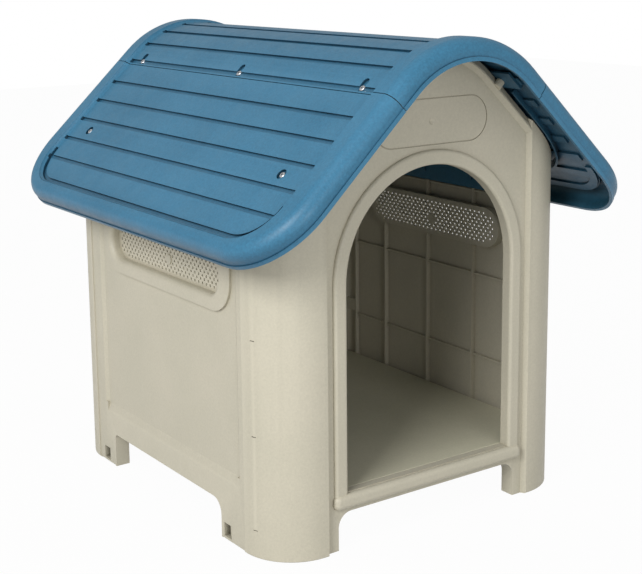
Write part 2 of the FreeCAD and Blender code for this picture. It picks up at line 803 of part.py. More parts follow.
def post_shell(name):
    """Upright ribbon: both rounded posts, their steps and the gable panel between them."""
    skin = size.post_skin

    def half(offset):
        width = size.body_half_width - offset
        depth = size.body_half_depth - offset
        radius = POST_RADIUS - offset
        centre = (width - radius, -depth + radius)
        step = size.post_inner_edge + offset * 0.4
        inset = size.panel_inset
        return {
            "side": (width, -size.seam_depth),
            "middle": (centre[0] + radius * HALF_ROOT, centre[1] - radius * HALF_ROOT),
            "front": (width - radius, -depth),
            "step": (step, -depth),
            "panel": (step - inset * 0.6, -depth + inset),
        }

    def flip(point):
        return (-point[0], point[1])

    outer, inner = half(0.0), half(skin)
    curves = []
    for points in (outer, inner):
        for flipped in (lambda point: point, flip):
            side, middle, front, step, panel = [flipped(points[key]) for key in POST_KEYS]
            curves += [arc(side, middle, front), line(front, step), line(step, panel)]
        curves.append(line(points["panel"], flip(points["panel"])))
    for flipped in (lambda point: point, flip):
        curves.append(line(flipped(outer["side"]), flipped(inner["side"])))
    square = extrusion(name + "_square", "plan", [curves], 0.0, size.ridge_height)
    front = outer["front"][0]

    def outer_foot(edge):
        middle = edge.valueAt((edge.FirstParameter + edge.LastParameter) / 2)
        on_front = abs(middle.y + size.body_half_depth) < 0.01
        from_centre = math.hypot(abs(middle.x) - front, middle.y + size.seam_depth)
        on_round = abs(middle.x) > front and abs(from_centre - POST_RADIUS) < 0.01
        return on_plane("Z", 0.0)(edge) and (on_front or on_round)

    return rounded_edges(name, square, size.foot_round, outer_foot)


def rail(name):
    """Raised moulding that follows the roof's slope across the gable."""
    panel = -PANEL_PLANE + 0.5
    crest = -size.body_half_depth
    section = [
        (-size.rail_foot, panel),
        (-size.rail_crest, crest),
        (-size.rail_crest + size.rail_land, crest),
        (-WALL_TOP, -PANEL_PLANE - 1.0),
        (-WALL_TOP, panel),
    ]

    def face_at(turn):
        points = []
        for lift, y in section:
            reach = size.ridge_radius + lift
            points.append(Vector(reach * math.sin(turn), y, RIDGE_AXIS + reach * math.cos(turn)))
        return Part.Face(Part.makePolygon(points + points[:1]))

    axis = Vector(0, 0, RIDGE_AXIS)
    crown = face_at(-SLOPE).revolve(axis, Vector(0, 1, 0), 2 * size.roof_slope)
    length = size.roof_run - RIDGE_RUN
    right = face_at(SLOPE).extrude(Vector(math.cos(SLOPE), 0, -math.sin(SLOPE)) * length)
    left = face_at(-SLOPE).extrude(Vector(-math.cos(SLOPE), 0, -math.sin(SLOPE)) * length)
    return feature(name, crown.fuse([right, left]))


def gable_parts(name):
    """What the front and back walls share, as (solids to join, solids to take away)."""
    shell = post_shell(name + "_shell")
    panel = -PANEL_PLANE
    corner = size.leg_gap_corner
    skin = size.flange_skin
    gap_half = size.leg_gap_half_width
    gap_top = size.wall_clearance

    gap = rounded_box((-gap_half, -1.0), (gap_half, gap_top), [0.0, 0.0, corner, corner])
    gap_cutter = extrusion(name + "_gap", "front", [gap], -size.body_half_depth - 20.0, 100.0)
    around_low = (-gap_half - skin, 0.0)
    around_high = (gap_half + skin, gap_top + skin)
    around = rounded_box(around_low, around_high, [0.0, 0.0, corner + skin, corner + skin])
    flange = extrusion(name + "_foot_flange", "front", [around], panel, size.flange_depth)

    top_band = roof_band(-WALL_TOP, -WALL_TOP - skin, size.roof_run)
    top_flange = extrusion(name + "_top_flange", "front", [top_band], panel, size.top_flange_depth)
    plan = extrusion(name + "_plan", "plan", [body_outline(0.0)], 0.0, size.ridge_height)
    top_inside = common(name + "_top_inside", [top_flange, plan])
    rail_inside = common(name + "_rail_inside", [rail(name + "_rail"), plan])

    solids = [shell, flange, top_inside, rail_inside]
    tools = [gap_cutter]
    bosses = []
    pilots = []
    pilot_foot = -size.recess_depth - size.screw_length - 2.0
    for kind, run, y, length in (
        ("_boss", PANEL_SCREW_RUN, -PANEL_SCREW_Y, size.boss_length),
        ("_rail_boss", CAP_SCREW_RUN, -CAP_SCREW_Y, size.rail_boss_length),
    ):
        boss_name = name + kind
        bosses.append(round_on_slope(boss_name, run, y, size.boss_radius, -WALL_TOP - length, -WALL_TOP))
        pilots.append(round_on_slope(boss_name + "_pilot", run, y, HOLE_RADIUS, pilot_foot, 0.0))
    solids += bosses + [mirror_right(boss.Name + "_left", boss) for boss in bosses]
    tools += pilots + [mirror_right(pilot.Name + "_left", pilot) for pilot in pilots]
    for hand, x in (("left", -POST_MIDDLE), ("right", POST_MIDDLE)):
        for level in range(3):
            slit_z = size.snap_height + (level - 1) * size.snap_pitch - size.slit_height / 2
            slit_y = -size.seam_depth - size.slit_setback - size.slit_length / 2
            slit_x = POST_RADIUS * 0.5
            slit_at = (x - slit_x, slit_y, slit_z)
            slit_name = "%s_slit_%s_%d" % (name, hand, level)
            tools.append(box(slit_name, slit_at, (2 * slit_x, "slit_length", "slit_height")))
    return solids, tools


def trimmed(name, solids, tools):
    """Joins a gable's solids, keeps them under the roof and takes the tools away."""
    half = size.roof_half_length
    limit = extrusion(name + "_limit", "front", [under_roof(-WALL_TOP)], -half, 2 * half)
    body = common(name + "_under", [fuse(name + "_joined", solids), limit])
    return cut(name, body, tools)


def front_wall():
    """Gable with the doorway, its bead and sill bar, and the blank name plate."""
    solids, tools = gable_parts("front_wall")
    panel = -PANEL_PLANE
    half = size.door_half_width
    skin = size.flange_skin
    opening = arch(half, size.sill_height, size.door_spring)

    bead_outer = arch(half + size.bead_width, size.sill_bar_foot + 2.0, size.door_spring)
    bead_front = panel - size.bead_proud
    bead_whole = extrusion("door_bead_whole", "front", [bead_outer], bead_front, size.bead_proud + 1.0)
    bead_core = arch(half, size.sill_bar_foot - 10.0, size.door_spring)
    bead_tool = extrusion("door_bead_core", "front", [bead_core], bead_front - 1.0, size.bead_proud + 3.0)
    bead = cut("door_bead_raw", bead_whole, [bead_tool])
    solids.append(rounded_edges("door_bead", bead, size.bead_round, on_plane("Y", bead_front)))
    jamb_outer = arch(half + skin, size.sill_height - skin, size.door_spring)
    solids.append(extrusion("door_jamb", "front", [jamb_outer], panel, size.jamb_depth))

    bar_half = half + size.bead_width + 2.0
    bar_low = (-bar_half, size.sill_bar_foot)
    bar_high = (bar_half, size.sill_bar_foot + size.sill_bar_height)
    bar_outline = rounded_box(bar_low, bar_high, [size.sill_bar_height * 0.4] * 4)
    bar_front = panel - size.sill_bar_proud
    bar = extrusion("sill_bar_raw", "front", [bar_outline], bar_front, size.sill_bar_proud + 1.0)
    solids.append(rounded_edges("sill_bar", bar, size.sill_bar_proud * 0.8, on_plane("Y", bar_front)))

    tools.append(extrusion("door_opening", "front", [opening], panel - 30.0, 80.0))
    groove = size.plate_groove
    plate_middle = (0.0, size.plate_height)
    plate = stadium(plate_middle, size.plate_half_length, size.plate_half_height)
    plate_inner = stadium(plate_middle, size.plate_half_length - groove, size.plate_half_height - groove)
    before = 5.0
    line_length = before + size.plate_groove_depth
    tools.append(extrusion("plate_line", "front", [plate, plate_inner], panel - before, line_length))
    dimple = doc.addObject("Part::Sphere", "plate_dimple")
    dimple_y = "-body_half_depth + panel_inset - dimple_radius + dimple_depth"
    bind(dimple, Radius="dimple_radius", Placement__Base__y=dimple_y, Placement__Base__z="plate_height")
    tools.append(dimple)
    return trimmed("front_wall", solids, tools)


def back_wall():
    """Gable without a doorway, stiffened inside; drawn at the front, then turned round."""
    solids, tools = gable_parts("back_wall")
    inner = -PANEL_PLANE + size.post_skin
    top = size.ridge_height
    for number, x in enumerate((-size.rib_pitch, 0.0, size.rib_pitch)):
        at = (x - size.rib_width / 2, inner - 1.0, FLANGE_TOP)
        solids.append(box("back_rib_%d" % number, at, ("rib_width", "rib_depth + 1", top - FLANGE_TOP)))
    for number in range(4):
        z = size.shelf_height + number * size.shelf_pitch
        reach = size.post_inner_edge
        at = (-reach, inner - 1.0, z - size.rib_width / 2)
        solids.append(box("back_shelf_%d" % number, at, (2 * reach, "rib_depth + 1", "rib_width")))
    turned = trimmed("back_wall", solids, tools)
    turned.Placement = Placement(Vector(0, 0, 0), Rotation(Vector(0, 0, 1), 180))
    return turned


# ---------------------------------------------------------------- side walls


def leg_gap(grow):
    """Outline of the space between the legs, widened by grow on its sides and top."""
    low = (-size.side_gap_front - grow, -1.0)
    high = (size.side_gap_back + grow, size.wall_clearance + grow)
    corners = [0.0, 0.0, size.side_gap_back_corner + grow, size.side_gap_front_corner + grow]
    return rounded_box(low, high, corners)


def grille_plate(x):
    """Perforated plate at the bottom of the vent, with staggered holes round a plain boss."""
    middle = (0.0, size.vent_height)
    border = stadium(middle, size.vent_half_length + 1.0, size.vent_half_height + 1.0)
    wires = [Part.Wire([curve.toShape() for curve in border])]
    margin = size.hole_size * 1.4
    reach = size.vent_half_length - margin
    rise = size.vent_half_height - margin
    rows = int(rise / size.hole_row)
    columns = int(reach / size.hole_pitch) + 1
    boss_at = size.vent_height - size.hole_row
    for row in range(-rows, rows + 1):
        z = row * size.hole_row
        shift = 0.5 * size.hole_pitch if row % 2 else 0.0
        end = reach - rise + math.sqrt(max(rise**2 - z**2, 0.0))
        for column in range(-columns, columns + 1):
            y = column * size.hole_pitch + shift
            near_boss = math.hypot(y, size.vent_height + z - boss_at) < size.grille_boss
            if abs(y) > end or near_boss:
                continue
            circle = Part.Circle(Vector(y, size.vent_height + z, 0), Vector(0, 0, 1), size.hole_size / 2)
            wires.append(Part.Wire([circle.toShape()]))
    face = Part.makeFace(wires, "Part::FaceMakerBullseye")
    plate = face.extrude(Vector(0, 0, size.grille_skin))
    plate.Placement = Placement(Vector(x, 0, 0), PLANES["side"][0])
    return plate.copy()


def side_wall():
    """Left side wall: recessed field, vent pocket with its grille, ribs, latches and two legs."""
    half = size.seam_depth - size.seat_gap
    top = field_height(SIDE_PLANE) - (WALL_TOP + 1.0) / math.cos(SLOPE)
    outside = -SIDE_PLANE
    inside = -SIDE_INNER
    skin = size.flange_skin

    sheet_outline = rounded_box((-half, 0.0), (half, top), [0.0] * 4)
    square = extrusion("side_panel_square", "side", [sheet_outline], outside, size.side_skin)

    def outer_foot(edge):
        return on_plane("Z", 0.0)(edge) and on_plane("X", outside)(edge)

    panel = rounded_edges("side_panel", square, size.foot_round, outer_foot)
    gap = extrusion("side_gap", "side", [leg_gap(0.0)], outside - 10.0, 80.0)
    flange = extrusion("side_foot_flange", "side", [leg_gap(skin)], outside, size.flange_depth)
    solids = [common("side_flange_low", [flange, box("side_above_ground", (-400, -400, 0), (800, 800, 400))])]

    # end flanges and the latches that reach into the posts
    end_depth = SIDE_PLANE - RIB_EDGE - size.slide_gap
    for end, y in (("front", -half), ("back", half - skin)):
        solids.append(box("side_end_" + end, (outside, y, 0), (end_depth, "flange_skin", top - 5.0)))
        latch_y = -half - size.latch_length if end == "front" else half - skin
        for level in range(3):
            slit_z = size.snap_height + (level - 1) * size.snap_pitch
            latch_foot = slit_z - size.latch_height / 2
            latch_x = outside + end_depth - size.latch_skin
            latch_at = (latch_x, latch_y, latch_foot)
            latch_name = "side_latch_%s_%d" % (end, level)
            latch_size = ("latch_skin", size.latch_length + skin, "latch_height")
            solids.append(box(latch_name, latch_at, latch_size))
            barb_y = (size.seam_depth + size.slit_setback) * (-1 if end == "front" else 1)
            barb_length = size.slit_length * 0.5
            barb_at = (latch_x - size.barb_proud, barb_y - barb_length / 2, slit_z - size.barb_height / 2)
            barb_size = ("barb_proud + 0.5", barb_length, "barb_height")
            solids.append(box(latch_name + "_barb", barb_at, barb_size))

    # sockets behind the peg slots in the legs
    slots = []
    for end, y in (("front", -size.peg_slot_front), ("back", size.peg_slot_back)):
        width = size.peg_slot_width
        slot_at = (outside - 5.0, y - width / 2, size.peg_slot_foot)
        slot = box("side_slot_" + end, slot_at, (size.peg_socket_depth + 5.0, width, "peg_slot_height"))
        bar_at = (outside + size.peg_bar_setback, y - size.peg_bar_width / 2, 0)
        bar_size = ("peg_socket_depth", "peg_bar_width", "peg_slot_foot + peg_slot_height + 1")
        bar = box("side_bar_" + end, bar_at, bar_size)
        slots.append(cut("side_slot_open_" + end, slot, [bar]))
        wall = size.peg_socket_skin
        block_at = (outside + 1.0, y - width / 2 - wall, 0)
        block_height = size.peg_slot_foot + size.peg_slot_height + wall
        block_size = (size.peg_socket_depth + wall - 1.0, width + 2 * wall, block_height)
        solids.append(box("side_socket_" + end, block_at, block_size))

    # vent pocket and grille
    middle = (0.0, size.vent_height)
    well_outline = stadium(middle, size.vent_half_length, size.vent_half_height)
    sleeve_skin = size.vent_sleeve_skin
    sleeve_outline = stadium(middle, size.vent_half_length + sleeve_skin, size.vent_half_height + sleeve_skin)
    pocket_depth = size.vent_depth + size.grille_skin
    sleeve = extrusion("side_sleeve", "side", [sleeve_outline], outside, pocket_depth)
    well = extrusion("side_well", "side", [well_outline], outside - 5.0, pocket_depth + 10.0)

    def vent_mouth(edge):
        above = edge.BoundBox.ZMin > size.vent_height - size.vent_half_height - 1.0
        return on_plane("X", outside)(edge) and above and edge.BoundBox.YLength < 2 * half - 1.0

    pierced = cut("side_pierced", fuse("side_sleeved", [panel, sleeve]), [well])
    mouth = rounded_edges("side_mouth", pierced, size.vent_mouth_round, vent_mouth)
    grille = feature("side_grille", grille_plate(outside + size.vent_depth))
    boss = feature(
        "side_grille_boss",
        Part.makeCylinder(
            size.grille_boss_radius,
            size.grille_skin + size.grille_boss_proud,
            Vector(outside + size.vent_depth - size.grille_boss_proud, 0, size.vent_height - size.hole_row),
            Vector(1, 0, 0),
        ),
    )

    # ribs inside
    ribs = []
    for place in (-1, 0, 1):
        y = -size.rib_shift + place * size.rib_pitch - size.rib_width / 2
        rib_at = (inside - 0.5, y, FLANGE_TOP - 1.0)
        rib_size = ("rib_depth + 0.5", "rib_width", top - FLANGE_TOP - 4.0)
        ribs.append(box("side_rib_%d" % (place + 2), rib_at, rib_size))
    shelves = int((top - size.rib_width - size.shelf_height) / size.shelf_pitch) + 1
    for place in range(shelves):
        z = size.shelf_height + place * size.shelf_pitch - size.rib_width / 2
        shelf_at = (inside - 0.5, -half + 1.0, z)
        shelf_size = ("shelf_depth + 0.5", 2 * half - 2.0, "rib_width")
        ribs.append(box("side_shelf_%d" % place, shelf_at, shelf_size))

    # recessed field below the vent's frame, with bevelled borders
    front, back = -size.field_front, size.field_back
    frame_corner = size.vent_frame_corner
    frame_spring = size.vent_frame_foot + frame_corner
    frame_front, frame_back = -size.vent_frame_front, size.vent_frame_back
    frame_foot, frame_top = size.vent_frame_foot, size.vent_frame_top
    field = [
        line((front, size.field_foot), (back, size.field_foot)),
        line((back, size.field_foot), (back, frame_top)),
        line((back, frame_top), (frame_back, frame_top)),
        line((frame_back, frame_top), (frame_back, frame_spring)),
        corner_arc((frame_back - frame_corner, frame_spring), frame_corner, 0, -90),
        line((frame_back - frame_corner, frame_foot), (frame_front + frame_corner, frame_foot)),
        corner_arc((frame_front + frame_corner, frame_spring), frame_corner, -90, -180),
        line((frame_front, frame_spring), (frame_front, frame_top)),
        line((frame_front, frame_top), (front, frame_top)),
        line((front, frame_top), (front, size.field_foot)),
    ]
    field_cutter = extrusion("side_field", "side", [field], outside - 1.0, size.field_depth + 1.0)
    foot_bevel = polygon(
        [
            (outside - 0.01, size.field_foot - size.field_foot_bevel),
            (outside + size.field_depth, size.field_foot),
            (outside - 0.01, size.field_foot),
        ]
    )
    foot_cutter = extrusion("side_field_foot", "front", [foot_bevel], front, back - front)
    side_bevels = []
    for end, y, way in (("front", front, -1), ("back", back, 1)):
        bevel_edge = (outside - 0.01, y + way * size.field_bevel)
        bevel = polygon([(outside - 0.01, y), (outside + size.field_depth, y), bevel_edge])
        side_bevels.append(
            extrusion("side_bevel_" + end, "plan", [bevel], size.field_foot, frame_top - size.field_foot)
        )

    built = fuse("side_built", [mouth] + solids + ribs)
    opened = cut("side_opened", built, [gap, well, field_cutter, foot_cutter] + side_bevels + slots)
    return fuse("left_wall", [opened, grille, boss])


# ---------------------------------------------------------------- floor and screws


def floor_panel():
    """Floor tray that lies on the walls' foot flanges, ribbed underneath."""
    half_width = RIB_EDGE - size.slide_gap
    half_depth = FLOOR_HALF
    corner = size.floor_corner
    skin = size.floor_skin
    foot = FLANGE_TOP + size.seat_gap
    outline = rounded_box((-half_width, -half_depth), (half_width, half_depth), [corner] * 4)
    inner = rounded_box(
        (-half_width + skin, -half_depth + skin), (half_width - skin, half_depth - skin), [corner - skin] * 4
    )
    tray = extrusion("floor_tray", "plan", [outline], foot, size.sill_height - foot)
    rounded = rounded_edges("floor_rounded", tray, size.floor_round, on_plane("Z", size.sill_height))
    hollow = extrusion("floor_hollow", "plan", [inner], foot - 1.0, size.sill_height - foot - skin + 1.0)
    ribs = []
    rib_foot = foot + size.floor_rib_lift
    rib_height = size.sill_height - skin - rib_foot + OVERLAP
    pitch = size.floor_rib_pitch
    rib_width = size.floor_rib_width
    along = int((half_width - skin) / pitch)
    for place in range(-along, along + 1):
        at = (place * pitch - rib_width / 2, -half_depth + 1.0, rib_foot)
        rib_size = (rib_width, 2 * half_depth - 2.0, rib_height)
        ribs.append(box("floor_rib_long_%d" % (place + along), at, rib_size))
    across = int((half_depth - skin) / pitch)
    for place in range(-across, across + 1):
        at = (-half_width + 1.0, place * pitch - rib_width / 2, rib_foot)
        rib_size = (2 * half_width - 2.0, rib_width, rib_height)
        ribs.append(box("floor_rib_wide_%d" % (place + across), at, rib_size))
    limit = extrusion("floor_limit", "plan", [outline], foot, size.sill_height - foot)
    inside = common("floor_ribs", [fuse("floor_ribs_all", ribs), limit])
    return fuse("floor_panel", [cut("floor_shell", rounded, [hollow]), inside])


def screw(name, side, run, y):
    """Round-headed screw with a cross slot, square to the slope and seated in its recess."""
    head = cylinder(name + "_head", (0, 0, 0), "screw_half_head", "screw_head_height")
    top = size.screw_head_height
    dome = rounded_edges(name + "_dome", head, top * 0.7, on_plane("Z", top))
    shank = cylinder(name + "_shank", (0, 0, -size.screw_length), "screw_half_shank", "screw_length + 0.5")
    slots = []
    long_side, short_side = size.driver_slot_length, size.driver_slot_width
    for number, (length, width) in enumerate(((long_side, short_side), (short_side, long_side))):
        slot_at = (-length / 2, -width / 2, top - size.driver_slot_depth)
        slots.append(box("%s_slot_%d" % (name, number), slot_at, (length, width, top)))
    made = cut(name, fuse(name + "_whole", [dome, shank]), slots)
    seat_x, seat_z = roof_point(run, -size.recess_depth)
    lean = Rotation(Vector(0, 1, 0), side * size.roof_slope)
    made.Placement = Placement(Vector(side * seat_x, y, seat_z), lean)
    return made


def screws():
    made = []
    for hand, side in (("left", -1), ("right", 1)):
        for end, y in CAP_SCREW_PLACES:
            made.append(screw("cap_screw_%s_%s" % (hand, end), side, CAP_SCREW_RUN, y))
        for end, y in PANEL_SCREW_PLACES:
            made.append(screw("panel_screw_%s_%s" % (hand, end), side, PANEL_SCREW_RUN, y))
    return made


def turned_copy(name, source):
    """The same moulding used again on the other side, turned half round."""
    made = doc.addObject("Part::Feature", name)
    made.Shape = source.Shape
    made.Placement = Placement(Vector(0, 0, 0), Rotation(Vector(0, 0, 1), 180)).multiply(source.Placement)
    return made


# ---------------------------------------------------------------- assembly

nodes = [roof_cap(), roof_panel(), front_wall(), back_wall(), side_wall(), floor_panel()] + screws()
doc.recompute()
by_name = {node.Name: node for node in nodes}
nodes.append(turned_copy("roof_panel_left", by_name["roof_panel_right"]))
nodes.append(turned_copy("right_wall", by_name["left_wall"]))
doc.recompute()

faults = []
for thing in doc.Objects:
    if "Invalid" in thing.State or "Error" in thing.State:
        faults.append("%s failed: %s" % (thing.Name, thing.State))

os.makedirs("parts", exist_ok=True)
for node in nodes:
    node.Label = node.Name
    shape = node.Shape
    if shape.isNull() or not shape.isValid():
        faults.append("%s has no valid shape" % node.Name)
        continue
    if len(shape.Solids) != 1:
        for solid in shape.Solids:
            low = solid.BoundBox
            size_text = "%.0f mm3 at %.1f %.1f %.1f" % (solid.Volume, low.XMin, low.YMin, low.ZMin)
            faults.append("%s is in pieces: %s" % (node.Name, size_text))
    shape.exportStep("parts/%s.step" % node.Label)
    extent = shape.BoundBox
    sizes = (extent.XLength, extent.YLength, extent.ZLength)
    print("%-24s %8.0f mm3  %6.1f %6.1f %6.1f" % ((node.Label, shape.Volume) + sizes))
if faults:
    raise RuntimeError("\n".join(faults))
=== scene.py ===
"""Dog house of grained blue and beige plastic, photographed from its front left corner."""

import bpy
import math
from mathutils import Matrix, Vector


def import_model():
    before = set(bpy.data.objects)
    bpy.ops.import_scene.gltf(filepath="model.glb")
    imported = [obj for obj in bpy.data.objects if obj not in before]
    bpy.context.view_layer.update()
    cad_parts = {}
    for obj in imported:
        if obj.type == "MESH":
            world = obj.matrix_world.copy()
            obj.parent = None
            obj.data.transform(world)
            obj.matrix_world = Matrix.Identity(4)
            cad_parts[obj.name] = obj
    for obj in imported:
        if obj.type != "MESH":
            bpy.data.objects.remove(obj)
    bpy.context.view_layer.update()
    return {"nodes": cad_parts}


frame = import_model()
nodes = frame["nodes"]


# ---------------------------------------------------------------- values of the plastics

# cells of each noise in a metre
CLOUD_SCALE = 9.0
SPECK_SCALE = 330.0
DUST_SCALE = 26.0
WEAR_SCALE = 60.0
NOISE_SPAN = (0.3, 0.7)  # nearly all values of a noise lie here

# openness near the surface, for painted shade: the shade is full at a span's first value and gone at
# its second
OPENNESS_SAMPLES = 6
CREASE_SHADE_SPAN = (0.45, 0.96)
# painted shade in deep hollows
HOLLOW_SHADE_REACH = 0.022
HOLLOW_SHADE_SPAN = (0.12, 0.34)
HOLLOW_SHADE_TINT = (0.16, 0.15, 0.12)
# painted shade where other parts shelter a surface
SHELTER_SHADE_REACH = 0.25
SHELTER_SHADE_SPAN = (0.12, 0.85)
# painted shade on faces that look down
UNDERSIDE_SHADE_SPAN = (-0.75, 0.05)  # of the normal's upward part
UNDERSIDE_SHADE_TINT = (0.45, 0.58, 0.62)

# painted highlight on sharp edges, and dust on what faces up
EDGE_HIGHLIGHT_SPAN = (0.54, 0.62)
EDGE_HIGHLIGHT = 0.22
HIGHLIGHT_GAIN = 1.35
HIGHLIGHT_LIFT = 0.03
DUST_TILT_SPAN = (0.5, 1.0)
DUST_PATCH_SPAN = (0.4, 0.8)
DUST_COVER = 0.12

# moulded grain and gloss
PORES_PER_GRAIN = 0.7
PORE_DEPTH = 0.7
GRAIN_STRENGTH = 0.75
SMOOTHER = 0.05
ROUGHER = 0.06
PLASTIC_IOR = 1.49

# ---------------------------------------------------------------- values of the screws

PLATING_SCALE = 500.0
PLATING_SPAN = (0.35, 0.75)
PLATING_ROUGHNESS = (0.26, 0.4)
# painted shade in the driver slot
SLOT_SHADE_REACH = 0.0012
SLOT_SHADE_SPAN = (0.3, 0.9)
PIT_SCALE = 1600.0
PIT_HEIGHT = 0.00004
PIT_STRENGTH = 0.6

# ---------------------------------------------------------------- values of the studio

WHITE = (1.0, 1.0, 1.0)
PAPER_SCALE = 60.0
PAPER_WHITENESS = 0.97  # share of plain white in what the camera sees of the floor
FLOOR_REACH = 6.0
FLOOR_DROP = 0.0005  # keeps the floor clear of the feet
FILL_STRENGTH = 0.5
BACKGROUND_STRENGTH = 1.0

# name, place, target, side of the square in metres, power in watts
LAMPS = (
    ("key", (-3.0, -1.45, 2.15), (0.0, 0.0, 0.3), 1.6, 94.0),
    ("front", (-0.5, -3.2, 0.8), (0.0, -0.2, 0.35), 1.2, 20.0),
)

CAMERA_PLACE = (-1.099856, -1.591758, 0.759688)
CAMERA_AZIMUTH = -35.154
CAMERA_ELEVATION = 10.348
CAMERA_ROLL = -0.567
LENS = 74.475
SENSOR_WIDTH = 36.0
LENS_SHIFT = -0.1355  # the photograph's optical centre lies above its middle


# ---------------------------------------------------------------- node helpers

MIX_FACTOR, MIX_FIRST, MIX_SECOND = 0, 6, 7  # the Mix node's inputs for colours
MIX_RESULT = 2


class Tree:
    """Short names for adding and joining the shader nodes of a material or a world."""

    def __init__(self, owner, output="ShaderNodeOutputMaterial"):
        owner.use_nodes = True
        self.owner = owner
        self.tree = owner.node_tree
        self.tree.nodes.clear()
        self.output = self.add(output)

    def add(self, kind, **settings):
        made = self.tree.nodes.new(kind)
        for name, value in settings.items():
            setattr(made, name, value)
        return made

    def join(self, source, target):
        self.tree.links.new(source, target)

    def put(self, value, socket):
        """Joins an output to the socket, or sets a number or colour there."""
        if isinstance(value, bpy.types.NodeSocket):
            self.join(value, socket)
        elif socket.type == "RGBA":
            socket.default_value = (*value, 1.0)
        else:
            socket.default_value = value

    def feed(self, made, **inputs):
        for name, value in inputs.items():
            self.put(value, made.inputs[name.replace("_", " ")])
        return made

    def math(self, operation, first, second):
        made = self.add("ShaderNodeMath", operation=operation)
        self.put(first, made.inputs[0])
        self.put(second, made.inputs[1])
        return made.outputs[0]

    def noise(self, place, scale, detail=2.0, roughness=0.5):
        made = self.add("ShaderNodeTexNoise")
        self.feed(made, Vector=place, Scale=scale, Detail=detail, Roughness=roughness)
        return made.outputs["Fac"]

    def ramp(self, factor, span, start=0.0, end=1.0):
        """Turns the span of the factor into start to end, and holds those outside it."""
        low, high = span
        made = self.add("ShaderNodeMapRange", clamp=True)
        self.feed(made, Value=factor, From_Min=low, From_Max=high, To_Min=start, To_Max=end)
        return made.outputs[0]

    def blend(self, factor, first, second, mode="MIX"):
        made = self.add("ShaderNodeMix", data_type="RGBA", blend_type=mode)
        for place, value in ((MIX_FACTOR, factor), (MIX_FIRST, first), (MIX_SECOND, second)):
            self.put(value, made.inputs[place])
        return made.outputs[MIX_RESULT]

    def tint(self, surface, colour, clear):
        """Multiplies the surface by the colour, apart from where clear is 1."""
        return self.blend(clear, self.blend(1.0, surface, colour, "MULTIPLY"), surface)

    def openness(self, reach, span, own_mesh=True):
        made = self.add("ShaderNodeAmbientOcclusion", samples=OPENNESS_SAMPLES, only_local=own_mesh)
        self.feed(made, Distance=reach)
        return self.ramp(made.outputs["AO"], span)

    def upward(self, geometry, span):
        lean = self.add("ShaderNodeSeparateXYZ")
        self.join(geometry.outputs["Normal"], lean.inputs[0])
        return self.ramp(lean.outputs["Z"], span)

    def relief(self, height, distance, strength):
        bump = self.add("ShaderNodeBump")
        self.feed(bump, Height=height, Distance=distance, Strength=strength)
        return bump.outputs[0]

    def mix_shaders(self, factor, first, second):
        made = self.add("ShaderNodeMixShader")
        for place, source in enumerate((factor, first.outputs[0], second.outputs[0])):
            self.join(source, made.inputs[place])
        return made

    def finish(self, shader):
        self.join(shader.outputs[0], self.output.inputs["Surface"])
        return self.owner


def new_material(name):
    return Tree(bpy.data.materials.new(name))


def linear(red, green, blue):
    """Linear colour of an sRGB colour given in 0 to 255."""

    def channel(value):
        part = value / 255
        return part / 12.92 if part <= 0.04045 else ((part + 0.055) / 1.055) ** 2.4

    return channel(red), channel(green), channel(blue)


# ---------------------------------------------------------------- materials


